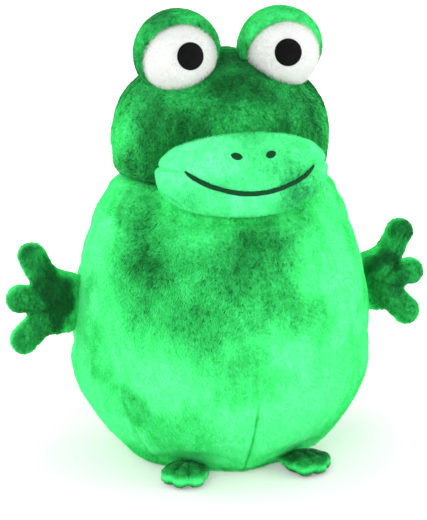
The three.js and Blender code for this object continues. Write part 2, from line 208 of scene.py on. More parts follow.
def unit(vectors):
    return vectors / np.linalg.norm(vectors, axis=-1, keepdims=True)


def turned_by(x, y, degrees):
    """Coordinates along an X and a Y axis that are turned by the angle."""
    turn = radians(degrees)
    return x * cos(turn) + y * sin(turn), y * cos(turn) - x * sin(turn)


def smooth_min(a, b, radius):
    mix = np.clip(0.5 + 0.5 * (b - a) / radius, 0, 1)
    return b * (1 - mix) + a * mix - radius * mix * (1 - mix)


def smooth_max(a, b, radius):
    return -smooth_min(-a, -b, radius)


def bezier(points, count):
    """Points of a cubic curve from its four control points."""
    t = np.linspace(0, 1, count)[:, None]
    a, b, c, d = np.asarray(points, float)
    return a * (1 - t) ** 3 + 3 * b * t * (1 - t) ** 2 + 3 * c * t**2 * (1 - t) + d * t**3


def evenly(line, count):
    """The line again, as evenly spaced points."""
    along = np.concatenate([[0], np.cumsum(length(np.diff(line, axis=0)))])
    places = np.linspace(0, along[-1], count)
    return np.stack([np.interp(places, along, line[:, i]) for i in range(line.shape[1])], axis=1)


def rounded(line, passes):
    """The line with its corners worn round, ends kept."""
    line = line.copy()
    for _ in range(passes):
        line[1:-1] += 0.25 * (line[:-2] - 2 * line[1:-1] + line[2:])
    return line


def add_object(name, data):
    thing = bpy.data.objects.new(name, data)
    bpy.context.scene.collection.objects.link(thing)
    return thing


def new_piece(name, vertices, faces):
    mesh = bpy.data.meshes.new(name)
    mesh.from_pydata(vertices.tolist(), [], faces)
    mesh.shade_smooth()
    return add_object(name, mesh)


def listed(members, field, kind=float, width=3):
    """A field of every member of a mesh, as the rows of an array."""
    flat = np.zeros(len(members) * width, kind)
    members.foreach_get(field, flat)
    return flat.reshape(-1, width)


def points_of(piece):
    return listed(piece.data.vertices, "co")


def normals_of(piece):
    return listed(piece.data.vertex_normals, "vector")


def set_points(piece, points):
    piece.data.vertices.foreach_set("co", points.ravel())
    piece.data.update()


def keep_above(piece, height):
    points = points_of(piece)
    points[:, 2] = np.maximum(points[:, 2], height)
    set_points(piece, points)


def apply_modifiers(piece):
    """Swaps the piece's mesh for the one that its modifiers give."""
    graph = bpy.context.evaluated_depsgraph_get()
    baked = bpy.data.meshes.new_from_object(piece.evaluated_get(graph))
    piece.modifiers.clear()
    piece.data = baked


def subdivide(piece):
    piece.modifiers.new("finer", "SUBSURF").levels = 1
    apply_modifiers(piece)


CLOTH_STIFFNESS, FILLING_PRESSURE, CLOTH_FRAMES = 15, 12, 12


def stuff(piece, held, swell, cap, bending=0.1):
    """Simulates the cover as cloth cut too large by swell and pressed out by its filling, up to the cap."""
    before = points_of(piece)
    group = piece.vertex_groups.new(name="held")
    group.add(np.flatnonzero(held(before)).tolist(), 1.0, "REPLACE")
    modifier = piece.modifiers.new("cloth", "CLOTH")
    cloth = modifier.settings
    cloth.quality = 5
    cloth.tension_stiffness = cloth.compression_stiffness = CLOTH_STIFFNESS
    cloth.bending_stiffness = bending
    cloth.use_pressure = True
    cloth.uniform_pressure_force = FILLING_PRESSURE
    cloth.vertex_group_mass = "held"
    cloth.shrink_min = -swell
    cloth.effector_weights.gravity = 0
    modifier.collision_settings.use_collision = False
    modifier.point_cache.frame_start, modifier.point_cache.frame_end = 1, CLOTH_FRAMES
    for frame_number in range(1, CLOTH_FRAMES + 1):
        bpy.context.scene.frame_set(frame_number)
    apply_modifiers(piece)
    bpy.context.scene.frame_set(1)
    piece.vertex_groups.clear()
    move = points_of(piece) - before
    far = length(move)[:, None] + 1e-9
    set_points(piece, before + move * np.minimum(1, cap / far))


# Surfaces made of rings about an upright axis

CURVE_POINTS, BODY_LINE_POINTS, HEAD_LINE_POINTS = 200, 400, 300
CORNER_WEAR = 14


def stations(line, fine, count, half_width):
    """Even points of a line with worn corners, as shares of the half-width and heights."""
    line = evenly(rounded(evenly(line, fine), CORNER_WEAR), count)
    return line[:, 0] / half_width, line[:, 1]


def body_outline(count):
    """(share of the belly's half-width, height) from the seat's middle to the neck's middle."""
    neck = NECK_SHARE * HEAD_HALF_WIDTH
    shoulder = NECK_HEIGHT - BELLY_HEIGHT
    swell = BELLY_HALF_WIDTH - SEAT_HALF_WIDTH
    lower = (
        (SEAT_HALF_WIDTH, 0),
        (SEAT_HALF_WIDTH + SEAT_PULL_OUT * swell, SEAT_PULL_UP * BELLY_HEIGHT),
        (BELLY_HALF_WIDTH, BELLY_HEIGHT * (1 - BELLY_PULL_DOWN)),
        (BELLY_HALF_WIDTH, BELLY_HEIGHT),
    )
    upper = (
        (BELLY_HALF_WIDTH, BELLY_HEIGHT),
        (BELLY_HALF_WIDTH, BELLY_HEIGHT + BELLY_PULL_UP * shoulder),
        (neck + NECK_PULL_OUT * (BELLY_HALF_WIDTH - neck), NECK_HEIGHT - NECK_PULL_DOWN * shoulder),
        (neck, NECK_HEIGHT),
    )
    lower, upper = bezier(lower, CURVE_POINTS), bezier(upper, CURVE_POINTS)
    line = np.concatenate([[(0, 0)], lower, upper[1:], [(0, NECK_HEIGHT - SEAM_GAP / 2)]])
    return stations(line, BODY_LINE_POINTS, count, BELLY_HALF_WIDTH)


def head_outline(count):
    """(share of the head's half-width, height) from the neck's middle to the head's top."""
    lowest = -asin(NECK_DROP ** (HEAD_FULLNESS / 2))
    turn = np.linspace(lowest, pi / 2, 2 * CURVE_POINTS)
    out = np.clip(np.cos(turn), 0, 1) ** (2 / HEAD_FULLNESS)
    up = np.sign(turn) * np.abs(np.sin(turn)) ** (2 / HEAD_FULLNESS)
    curve = np.stack([out * HEAD_HALF_WIDTH, HEAD_MIDDLE + up * HEAD_HALF_HEIGHT], axis=1)
    line = np.concatenate([[(0, NECK_HEIGHT + SEAM_GAP / 2)], curve])
    return stations(line, HEAD_LINE_POINTS, count, HEAD_HALF_WIDTH)


def tube_faces(rings, sides):
    """The faces of a closed tube, over its rings' points and then the middles of its start and end."""
    side = np.arange(sides)
    beside = (side + 1) % sides
    low = sides * np.arange(rings - 1)[:, None]
    high = low + sides
    walls = np.stack([low + side, low + beside, high + beside, high + side], axis=-1).reshape(-1, 4)
    start, last = np.full(sides, rings * sides), (rings - 1) * sides
    caps = [(start, beside, side), (start + 1, last + side, last + beside)]
    return walls.tolist() + [face for cap in caps for face in np.stack(cap, axis=1).tolist()]


def ring_piece(name, shares, heights, half_width, front, back, sides):
    """A closed piece of rings about the upright axis, with its own depth to the front and to the back. Its
    first ring and its last one are points."""
    turn = 2 * pi * np.arange(sides) / sides
    depth = np.where(np.sin(turn) < 0, front, back)
    x = shares[:, None] * half_width * np.cos(turn)
    y = shares[:, None] * depth * np.sin(turn)
    rings = np.stack([x, y, np.broadcast_to(heights[:, None], x.shape)], axis=-1)
    points = np.concatenate([rings[1:-1].reshape(-1, 3), rings[:1, 0], rings[-1:, 0]])
    return new_piece(name, points, tube_faces(len(rings) - 2, sides))


# Surfaces found in a field that is below 0 inside


def net_piece(name, field, low, high, step):
    """A closed piece where a field is 0, with a point in each grid cell that this surface crosses."""
    low = (np.floor(np.asarray(low, float) / step) - 0.5) * step
    counts = np.ceil((np.asarray(high, float) - low) / step).astype(int) + 1
    axes = [low[i] + step * np.arange(counts[i]) for i in range(3)]
    grid = np.stack(np.meshgrid(*axes, indexing="ij"), axis=-1)
    value = field(grid)
    cells = counts - 1
    total, hits = np.zeros((*cells, 3)), np.zeros(cells)
    crossings = []
    for axis in range(3):
        others = [i for i in range(3) if i != axis]
        ahead = np.moveaxis(value, axis, 0)
        a, b = ahead[:-1], ahead[1:]
        crossed = (a < 0) != (b < 0)
        a, b = a[crossed], b[crossed]
        index = np.zeros((len(a), 3), int)
        index[:, [axis, *others]] = np.argwhere(crossed)
        point = low + step * index
        point[:, axis] += a / (a - b) * step
        corners = []
        for back in ((0, 0), (1, 0), (1, 1), (0, 1)):
            cell = index.copy()
            cell[:, others] -= back
            np.add.at(total, tuple(cell.T), point)
            np.add.at(hits, tuple(cell.T), 1)
            corners.append(np.ravel_multi_index(tuple(cell.T), cells))
        quad = np.stack(corners, axis=1)
        flip = (a < 0) if axis == 1 else (a >= 0)
        quad[flip] = quad[flip, ::-1]
        crossings.append(quad)
    used = np.flatnonzero(hits.ravel())
    numbers = np.full(hits.size, -1)
    numbers[used] = np.arange(len(used))
    points = total.reshape(-1, 3)[used] / hits.ravel()[used][:, None]
    return new_piece(name, points, numbers[np.concatenate(crossings)].tolist())


def clear_of(form, other, blend):
    """The form, cut back to a seam's gap from the other."""
    return smooth_max(form, SEAM_GAP - other, blend)


def round_share(points, half_width, front, back):
    """How far points are from the upright axis, as a share of the half-width or depth there."""
    depth = np.where(points[..., 1] < 0, front, back)
    return np.hypot(points[..., 0] / half_width, points[..., 1] / depth)


def head_field(points):
    """About how far points are outside the head."""
    out = round_share(points, *HEAD_ROUND)
    up = np.abs(points[..., 2] - HEAD_MIDDLE) / HEAD_HALF_HEIGHT
    reach = (out**HEAD_FULLNESS + up**HEAD_FULLNESS) ** (1 / HEAD_FULLNESS)
    return (reach - 1) * HEAD_HALF_HEIGHT


BODY_SHARES, BODY_HEIGHTS = body_outline(3 * CURVE_POINTS)
WALL = (BODY_HEIGHTS > 1 * MM) & (BODY_HEIGHTS <= NECK_HEIGHT - 3 * MM)


def body_share(heights):
    """The body's half-width at heights up its wall, as a share of the belly's."""
    return np.interp(heights, BODY_HEIGHTS[WALL], BODY_SHARES[WALL])


def body_field(points):
    """About how far points are outside the body."""
    out = round_share(points, *BODY_ROUND)
    side = (out - body_share(points[..., 2])) * BELLY_FRONT
    return np.maximum(side, points[..., 2] - NECK_HEIGHT)


def mouth_line(across):
    """The mouth's height above the muzzle's middle, at a place across."""
    return MOUTH_SMILE * (across / MOUTH_HALF_WIDTH) ** 2 - MOUTH_DROP


def egg_field(points):
    """About how far points are outside the muzzle's whole egg, before the head and the body cut it."""
    shares = (points - MUZZLE_MIDDLE) / (MUZZLE_HALF_WIDTH, MUZZLE_HALF_DEPTH, MUZZLE_HALF_HEIGHT)
    return (length(shares) - 1) * MUZZLE_HALF_HEIGHT


def muzzle_field(points):
    pad = clear_of(egg_field(points), head_field(points), MUZZLE_EDGE)
    return clear_of(pad, body_field(points), MUZZLE_EDGE)


# Materials


def srgb(red, green, blue):
    """A colour as 0 to 255 on the screen, in the linear numbers that shaders take."""
    share = np.array([red, green, blue]) / 255
    return tuple(np.where(share <= 0.04045, share / 12.92, ((share + 0.055) / 1.055) ** 2.4))


class Nodes:
    """Short ways to add and join shader nodes."""

    def __init__(self, owner):
        self.tree = owner.node_tree

    def fill(self, node, sockets):
        """Sets each of a node's sockets to a value, or joins it to another node's output."""
        for name, value in sockets.items():
            if isinstance(value, bpy.types.NodeSocket):
                self.tree.links.new(value, node.inputs[name])
            else:
                node.inputs[name].default_value = value

    def add(self, kind, sockets=None, **settings):
        node = self.tree.nodes.new("ShaderNode" + kind)
        for name, value in settings.items():
            setattr(node, name, value)
        self.fill(node, sockets or {})
        return node

    def noise(self, vector, scale, detail=2.0, roughness=0.5):
        looks = {"Vector": vector, "Scale": scale, "Detail": detail, "Roughness": roughness}
        return self.add("TexNoise", looks).outputs["Fac"]

    def math(self, operation, a, b=0.0):
        return self.add("Math", {0: a, 1: b}, operation=operation).outputs[0]

    def span(self, value, start, end, low, high):
        """A number that goes smoothly from low to high while the value goes from start to end."""
        ends = {"Value": value, "From Min": start, "From Max": end, "To Min": low, "To Max": high}
        return self.add("MapRange", ends, interpolation_type="SMOOTHSTEP").outputs["Result"]

    def ramp(self, tone, stops):
        node = self.add("ValToRGB", {"Fac": tone})
        while len(node.color_ramp.elements) < len(stops):
            node.color_ramp.elements.new(0.5)
        for element, (place, color) in zip(node.color_ramp.elements, stops):
            element.position, element.color = place, (*color, 1)
        return node.outputs["Color"]

    def bump(self, height, strength, distance):
        looks = {"Height": height, "Strength": strength, "Distance": distance}
        return self.add("Bump", looks).outputs["Normal"]

    def mix(self, share, first, second):
        """A shader mixed of two, where the share says how much is of the second."""
        return self.add("MixShader", {0: share, 1: first, 2: second}).outputs["Shader"]


def surface(name, color, roughness=0.9):
    material = bpy.data.materials.new(name)
    material.use_nodes = True
    shader, nodes = material.node_tree.nodes["Principled BSDF"], Nodes(material)
    nodes.fill(shader, {"Base Color": (*color, 1), "Roughness": roughness})
    return material, shader, nodes


TONE_STOPS = (0.0, 0.25, 0.55, 0.8, 1.0)
BRUSHING = {"Rotation": (0.35, 0.6, 0.2), "Scale": (1, 1, 0.42)}


def plush(name, colors, sheen_tint, through=0.0):
    """Short brushed pile. The nap attribute says how light it lies, from 0 to 1, and on some covers also
    carries painted shade and painted rim highlights; where it is ruffled it shows fine dark strokes. The
    seam attribute darkens it, partly as painted shade. Through is the share of light that passes."""
    material, shader, nodes = surface(name, colors[2])
    places = {"Vector": nodes.add("TexCoord").outputs["Object"]}
    brushed = nodes.add("Mapping", {**BRUSHING, **places}).outputs["Vector"]
    strokes = nodes.noise(brushed, 850, detail=3, roughness=0.75)
    drifts = nodes.noise(brushed, 160, detail=3, roughness=0.6)
    nap, seam = (nodes.add("Attribute", attribute_name=given).outputs["Fac"] for given in ("nap", "seam"))
    ruffled = nodes.span(nap, 0.85, 0.35, 0.12, 0.55)
    fine = nodes.math("MULTIPLY", nodes.math("SUBTRACT", strokes, 0.5), ruffled)
    broad = nodes.math("MULTIPLY", nodes.math("SUBTRACT", drifts, 0.5), 0.45)
    tone = nodes.math("ADD", nap, nodes.math("ADD", fine, broad))
    # Seams darken the tone: partly painted shade in their grooves
    tone = nodes.math("SUBTRACT", tone, nodes.math("MULTIPLY", seam, 0.55))
    color = nodes.ramp(tone, list(zip(TONE_STOPS, colors)))
    nodes.fill(shader, {"Base Color": color, "Normal": nodes.bump(strokes, 0.5, 0.5 * MM)})
    nodes.fill(shader, {"Sheen Weight": 1.0, "Sheen Roughness": 0.35, "Sheen Tint": (*sheen_tint, 1)})
    nodes.fill(shader, {"Specular IOR Level": 0.15})
    if through > 0:
        glow = nodes.add("BsdfTranslucent", {"Color": color}).outputs["BSDF"]
        both = nodes.mix(through, shader.outputs["BSDF"], glow)
        nodes.fill(material.node_tree.nodes["Material Output"], {"Surface": both})
    return material


def cover_and_pile(name, colors, sheen_tint):
    """The materials of a cover and of its loose pile, from dark to light colours as seen on screen."""
    colors, sheen_tint = [srgb(*color) for color in colors], srgb(*sheen_tint)
    return plush(name, colors, sheen_tint), plush(name + "_pile", colors, sheen_tint, through=0.4)


GREEN, GREEN_PILE = cover_and_pile(
    "green_short_plush",
    ((12, 88, 38), (28, 146, 64), (56, 212, 108), (80, 246, 144), (112, 255, 178)),
    (125, 255, 180),
)
PALE, PALE_PILE = cover_and_pile(
    "pale_short_plush",
    ((30, 140, 74), (50, 196, 108), (80, 238, 146), (102, 252, 172), (126, 255, 194)),
    (150, 255, 205),
)
WHITE, WHITE_PILE = cover_and_pile(
    "white_short_plush",
    ((186, 210, 195), (216, 230, 222), (233, 239, 235), (240, 242, 240), (245, 246, 244)),
    (240, 246, 241),
)


def felt(name, dark, light):
    """Pressed fibres with no weave, slightly hairy."""
    material, shader, nodes = surface(name, dark, 0.95)
    place = nodes.add("TexCoord").outputs["Object"]
    fibres, clumps = nodes.noise(place, 1500, detail=4, roughness=0.7), nodes.noise(place, 260)
    tone = nodes.math("ADD", nodes.math("MULTIPLY", fibres, 0.6), nodes.math("MULTIPLY", clumps, 0.4))
    color = nodes.ramp(tone, [(0.35, dark), (0.65, light)])
    nodes.fill(shader, {"Base Color": color, "Normal": nodes.bump(fibres, 0.6, 0.3 * MM)})
    nodes.fill(shader, {"Sheen Weight": 0.08, "Sheen Roughness": 0.6, "Specular IOR Level": 0.05})
    return material


def silky(name, dark, light):
    """Twisted embroidery thread, with a soft gleam and fine strands."""
    material, shader, nodes = surface(name, dark, 0.55)
    strands = nodes.noise(nodes.add("TexCoord").outputs["Object"], 2600, roughness=0.6)
    color, normal = nodes.ramp(strands, [(0.3, dark), (0.7, light)]), nodes.bump(strands, 0.4, 0.1 * MM)
    nodes.fill(shader, {"Base Color": color, "Normal": normal, "Specular IOR Level": 0.15})
    return material


FELT = felt("pressed_felt", srgb(2, 2, 3), srgb(14, 14, 16))
THREAD = silky("embroidery_thread", srgb(2, 52, 25), srgb(9, 84, 41))


def dress(piece, body, material, slot, *nodes, fill=None):
    """Gives a piece its material and its body, and hides the parts that it stands for. Its fill is not
    used.
    """
    piece.data.materials.clear()
    piece.data.materials.append(material)
    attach(piece, body)
    if nodes:
        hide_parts(*nodes)


# Nap, seams and lumps of a cover

# How wide and how deep the filling's lumps, the uneven edges of brushed nap and the pile's ridges are
LUMP_SIZE, LUMP_DEPTH = 36 * MM, 0.5 * MM
WARP_SIZE, WARP = 18 * MM, 7 * MM
RIDGE_SIZE, RIDGE_DEPTH = (4.5 * MM, 4.5 * MM, 7 * MM), 0.16 * MM


def nowhere(points):
    return np.zeros(len(points))


def everywhere(points):
    return np.ones(len(points))


def no_seams(points):
    return []


def near(distance, reach=6 * MM):
    """1 where another cover lies against this one, fading to 0 at the reach."""
    return np.clip(2 - 2 * distance / reach, 0, 1)


def only(condition, distance):
    """The distance where the condition holds, and elsewhere a metre."""
    return np.where(condition, distance, 1.0)


def brushed(points, base, spread, seed, size=34 * MM, patches=()):
    """How light the nap lies: broad regions with uneven edges, and patches, each with its change, its
    middle and its radius in millimetres."""
    warp = np.stack([noise(points, WARP_SIZE, seed + i) for i in range(3)], axis=-1) * WARP
    nap = base + spread * np.tanh(2.2 * fractal(points + warp, size, 3, seed + 5))
    for change, middle, radius in patches:
        nap += change * bell(length(points - np.array(middle) * MM), radius * MM)
    return nap


class Seam:
    """A sewn line on a cover: how far points are from it, where along it, and how it draws the cloth in."""

    def __init__(self, distance, along, seed, depth=1.5, width=2, pucker=1, every=9, strength=1, dark=1):
        self.distance, self.along, self.seed = distance, along, seed
        self.strength, self.dark = strength, dark
        self.depth, self.width, self.pucker, self.every = depth * MM, width * MM, pucker * MM, every * MM

    def noise_places(self, across):
        return np.stack([self.along, across, np.full_like(across, self.seed)], axis=-1)

    def relief(self):
        """A valley with a soft bank on each side, and puckers that run out from it."""
        far, width = self.distance, self.width
        valley = -self.depth * bell(far, width)
        bank = 0.35 * self.depth * bell(far - 2.4 * width, 1.6 * width)
        gathers = np.maximum(noise(self.noise_places(far * 0.25), self.every, self.seed), 0) ** 1.5
        reach = bell(far, 5.5 * width) * (1 - 0.6 * bell(far, width))
        return (valley + bank - self.pucker * gathers * reach) * self.strength

    def shade(self):
        """How dark the seam looks: a thin line, drawn in at each stitch. It is painted shade in the seam's
        groove, and partly the parted pile.
        """
        line = self.noise_places(np.zeros_like(self.along))
        stitches = 0.8 + 0.2 * noise(line, STITCH_LENGTH, self.seed)
        return bell(self.distance, 0.36 * self.width) * self.strength * self.dark * stitches


def on_seam(seams, points, reach=0.4 * MM):
    return np.min([seam.distance for seam in seams(points)], axis=0) < reach


def paint(piece, nap, seams, bare=nowhere):
    """Stores at each point how light the nap lies, with any painted shade and rim highlight, how deep in a
    seam it is, which is partly painted shade, and how bare of pile.
    """
    points = points_of(piece)
    shades = [nowhere(points)] + [seam.shade() for seam in seams(points)]
    for name, values in (("nap", nap(points)), ("seam", np.max(shades, axis=0)), ("bare", bare(points))):
        values = np.clip(values, 0, 1).astype(np.float32)
        piece.data.attributes.new(name, "FLOAT", "POINT").data.foreach_set("value", values)


def relieve(piece, seams, seed, nap_share=1.0, fade=everywhere, against=nowhere):
    """Moves points along their normals by seams, lumps and ridges, and only inwards against a cover."""
    points = points_of(piece)
    lumps = fractal(points, LUMP_SIZE, 2, seed) * LUMP_DEPTH
    ridges = fractal(points, RIDGE_SIZE, 3, seed + 9) * RIDGE_DEPTH
    relief = sum((seam.relief() for seam in seams(points)), nowhere(points))
    relief += nap_share * (lumps + ridges) * fade(points)
    relief -= np.maximum(relief, 0) * against(points)
    set_points(piece, points + normals_of(piece) * relief[:, None])


# Body

# The seams end this far from the upright axis, so that none crosses to the other side
SIDE_SEAM_END, BACK_SEAM_END, DART_END, RIM_END = 20 * MM, 15 * MM, 20 * MM, 30 * MM
# Patches of nap, and one of painted shade under the muzzle: the change, the middle and the radius in
# millimetres
BODY_NAP_AND_SHADE_PATCHES = (
    (0.3, (55, -65, 62), 44),
    (0.28, (0, -80, 32), 44),
    (0.15, (62, -40, 130), 30),
    (0.15, (-56, -60, 42), 26),
    # Painted shade under the muzzle
    (-0.36, (0, -66, 145), 34),
    (-0.3, (-50, -58, 122), 30),
    (-0.24, (-62, -42, 142), 24),
    (-0.12, (-66, -50, 52), 14),
)


def neck_seam(points):
    x, y, z = points.T
    along = np.arctan2(y, x) * NECK_SHARE * HEAD_HALF_WIDTH
    return Seam(np.abs(z - NECK_HEIGHT), along, 13, depth=1.0, pucker=1.6, every=10)


def body_side_seams(points):
    x, y, z = points.T
    above = rise(z - BASE_TOP, SEAM_FADE)
    return [
        Seam(only(np.abs(x) > SIDE_SEAM_END, np.abs(y)), z, 3, strength=above),
        Seam(only(y > BACK_SEAM_END, np.abs(x)), z, 5, strength=above),
    ]


def body_seams(points):
    x, y, z = points.T
    seams = body_side_seams(points) + [neck_seam(points)]
    fade = rise(DART_HEIGHT - z, DART_FADE) * rise(z - BASE_TOP, SEAM_FADE)
    for number, angle in enumerate(DART_ANGLES):
        across, behind = turned_by(x, y, angle)
        dart = only(-behind > DART_END, np.abs(across))
        seams.append(Seam(dart, z, 7 + number, width=1.5, pucker=0.5, every=8, strength=fade))
    round_seat = np.arctan2(y, x) * SEAT_HALF_WIDTH
    rim = only(np.hypot(x, y) > RIM_END, np.abs(z - BASE_TOP))
    seams.append(Seam(rim, round_seat, 11, depth=1.2, width=1.4, pucker=0.9, every=8))
    return seams


def body_nap_shade_and_rim(points):
    """Light patches on the belly, dark ones on the chest with painted shade under the muzzle, and lighter
    along the side seams: a painted rim highlight.
    """
    return brushed(points, 0.76, 0.17, 91, patches=BODY_NAP_AND_SHADE_PATCHES) + 0.3 * bell(points[:, 1], 26 * MM)


def at_limb_roots(points):
    """1 where a limb is sewn to the body, fading to 0 round it, and how deep the cloth is drawn in."""
    nearness, depth = np.zeros(len(points)), np.zeros(len(points))
    for joint in frame["joints"]:
        wide, high, deep = ARM_DIMPLE if "arm" in joint["name"] else FOOT_DIMPLE
        x, y, z = (points - joint["pos_m"]).T
        here = bell(np.hypot(x, y), wide) * bell(z, high)
        depth = np.where(here > nearness, deep, depth)
        nearness = np.maximum(nearness, here)
    return nearness, depth


def under_muzzle(points):
    return near(egg_field(points))


def make_body():
    piece = ring_piece("body_cover", *body_outline(BODY_RINGS), *BODY_ROUND, BODY_SIDES)

    def held(points):
        ends = (points[:, 2] < SEAT_HELD) | (points[:, 2] > NECK_HEIGHT - NECK_HELD)
        under = (at_limb_roots(points)[0] > 0.5) | (under_muzzle(points) > 0.5)
        return ends | under | on_seam(body_side_seams, points)

    stuff(piece, held, swell=0.03, cap=5 * MM)
    subdivide(piece)
    sewn, depth = at_limb_roots(points_of(piece))
    drawn_in = points_of(piece) - normals_of(piece) * depth[:, None]
    relieve(piece, body_seams, 21, fade=lambda points: rise(points[:, 2], SEAM_FADE), against=under_muzzle)
    set_points(piece, points_of(piece) + (drawn_in - points_of(piece)) * sewn[:, None])
    keep_above(piece, 0)
    paint(piece, body_nap_shade_and_rim, body_seams)
    nodes = ("body_front_panel", "body_back_left_panel", "body_back_right_panel", "base_panel")
    dress(piece, "torso", GREEN, "green_plush", *nodes, "body_filling", "weight_pouch", fill=0.8)
    return piece


# Eyes


class Eye:
    """The shapes of an eye's ball, hood and pupil, as fields, and where its cover lies under others."""

    def __init__(self, side, label):
        self.side, self.label = side, label
        low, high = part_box(label + "_eye_ball")
        self.middle = np.array([(low.x + high.x) / 2, low.y + EYE_RADIUS, high.z - EYE_RADIUS])
        turn, level = side * PUPIL_TURN, cos(PUPIL_RISE)
        self.gaze = np.array([-sin(turn) * level, -cos(turn) * level, sin(PUPIL_RISE)])

    def outside(self, points):
        """How far points are outside the ball."""
        return length(points - self.middle) - EYE_RADIUS

    def from_gaze(self, points):
        """How far points are ahead of the eye's middle, and how far from the line of its gaze."""
        offset = points - self.middle
        ahead = offset @ self.gaze
        return ahead, length(offset - ahead[..., None] * self.gaze)

    def ball(self, points):
        return clear_of(self.outside(points), head_field(points), EYE_EDGE)

    def hood(self, points):
        offset = points - self.middle
        dome = length(offset - (0, HOOD_BACK, HOOD_RISE)) - EYE_RADIUS - HOOD_THICKNESS
        forward = -offset[..., 1] * cos(HOOD_LEAN) - offset[..., 2] * sin(HOOD_LEAN)
        lid = clear_of(smooth_max(dome, forward - HOOD_LIP, HOOD_RIM), self.outside(points), 0.8 * MM)
        return clear_of(lid, head_field(points), HOOD_EDGE)

    def pupil(self, points):
        shell = np.abs(self.outside(points) - SEAM_GAP - PUPIL_THICKNESS / 2) - PUPIL_THICKNESS / 2
        ahead, across = self.from_gaze(points)
        return np.where(ahead > 0, smooth_max(shell, across - PUPIL_RADIUS, PUPIL_EDGE), 1)

    def under_pupil(self, points):
        ahead, across = self.from_gaze(points)
        return np.where(ahead > 0, rise(PUPIL_RADIUS + 0.8 * MM - across, 1 * MM), 0)

    def against_hood(self, points):
        return near(np.minimum(self.outside(points), head_field(points)), 3 * MM)


EYES = Eye(1, "left"), Eye(-1, "right")


def make_eye(eye):
    reach = EYE_RADIUS + HOOD_THICKNESS + 2 * MM
    box = eye.middle - reach, eye.middle + reach
    ball = net_piece(eye.label + "_eye_cover", eye.ball, *box, 1.1 * MM)
    hood = net_piece(eye.label + "_eye_hood_cover", eye.hood, *box, 1.1 * MM)
    pupil = net_piece(eye.label + "_pupil_disc", eye.pupil, *box, 0.5 * MM)
    subdivide(ball)
    relieve(ball, no_seams, 62 + eye.side, 0.45, against=everywhere)
    paint(ball, lambda points: brushed(points, 0.93, 0.08, 101), no_seams, eye.under_pupil)
    nodes = eye.label + "_eye_ball", eye.label + "_eye_filling"
    dress(ball, "torso", WHITE, "white_plush", *nodes, fill=1)
    subdivide(hood)
    relieve(hood, no_seams, 66 + eye.side, 0.5, against=eye.against_hood)
    paint(hood, lambda points: brushed(points, 0.5, 0.2, 103, 22 * MM), no_seams)
    dress(hood, "torso", GREEN, "green_plush", eye.label + "_eye_hood", fill=0.7)
    dress(pupil, "torso", FELT, "black_felt", eye.label + "_pupil")


# Head

# Lighter patches: two at the sides, a painted rim highlight, and one at the crown; the change, the middle
# and the radius in millimetres
HEAD_RIM_AND_CROWN_PATCHES = (
    (0.3, (-60, -10, 200), 26),
    (0.3, (60, -15, 195), 26),
    (0.25, (0, 10, 250), 22),
)


def head_side_seams(points):
    x, y, z = points.T
    round_head = np.arctan2(z - HEAD_MIDDLE, x) * HEAD_HALF_WIDTH
    return [
        Seam(only(z > NECK_HEIGHT, np.abs(y)), round_head, 31, depth=1.4, width=1.8, pucker=0.8),
        Seam(only(y > 8 * MM, np.abs(x)), z, 33, depth=1.4, width=1.8, pucker=0.8),
    ]


def head_seams(points):
    return head_side_seams(points) + [neck_seam(points)]


def head_nap_shade_and_rim(points):
    """Dark over the face, partly painted shade round the eyes and the muzzle, lighter at the sides, a
    painted rim highlight, and lighter at the crown and the back.
    """
    return brushed(points, 0.28, 0.18, 95, patches=HEAD_RIM_AND_CROWN_PATCHES) + 0.2 * rise(points[:, 1], 30 * MM)


def under_face(points):
    """1 where the muzzle or an eye lies on the head, fading to 0 round them."""
    eyes = [near(eye.outside(points) - HOOD_THICKNESS) for eye in EYES]
    return np.max([under_muzzle(points)] + eyes, axis=0)


def make_head():
    piece = ring_piece("head_cover", *head_outline(HEAD_RINGS), *HEAD_ROUND, HEAD_SIDES)

    def held(points):
        neck = points[:, 2] < NECK_HEIGHT + NECK_HELD
        return neck | (under_face(points) > 0.5) | on_seam(head_side_seams, points)

    stuff(piece, held, swell=0.03, cap=4 * MM)
    subdivide(piece)
    relieve(piece, head_seams, 41, against=under_face)
    paint(piece, head_nap_shade_and_rim, head_seams)
    nodes = ("face_panel", "head_back_left_panel", "head_back_right_panel", "head_filling")
    dress(piece, "torso", GREEN, "green_plush", *nodes, fill=0.8)


# Muzzle

MUZZLE_PATCHES = ((-0.35, (24, -70, 178), 14),)


def muzzle_seams(points):
    x, y, z = (points - MUZZLE_MIDDLE).T
    slope = 2 * MOUTH_SMILE * x / MOUTH_HALF_WIDTH**2
    distance = np.abs(z - mouth_line(x)) / np.sqrt(1 + slope**2)
    beyond = np.maximum(np.abs(x) - MOUTH_HALF_WIDTH, 0)
    mouth = only(y < 0, np.hypot(distance, beyond))
    corner = rise(np.abs(x) - MOUTH_HALF_WIDTH + 1 * MM, 3 * MM)
    side = only(np.abs(x) > MOUTH_HALF_WIDTH - 2 * MM, np.abs(z - mouth_line(MOUTH_HALF_WIDTH)))
    return [
        # The mouth's groove is darkened: painted shade
        Seam(mouth, x, 51, depth=1.8, width=3.2, pucker=0.4, every=8, dark=0.6),
        Seam(side, y, 55, depth=1.2, width=1.6, pucker=0.6, every=7, strength=corner),
    ]


def muzzle_nap(points):
    return brushed(points, 0.72, 0.22, 97, patches=MUZZLE_PATCHES)


def under_embroidery(points):
    """Where the muzzle's pile is sewn down, round the mouth and the nostrils."""
    mouth, _ = muzzle_seams(points)
    sewn = bell(mouth.distance, MOUTH_HALF_BAND)
    for label in ("left", "right"):
        low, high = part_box(label + "_nostril")
        sewn = np.maximum(sewn, bell(length(points - np.array((low + high) / 2)), NOSTRIL_HALF_WIDTH))
    return sewn


def against_muzzle(points):
    return near(np.minimum(head_field(points), body_field(points)), 4 * MM)


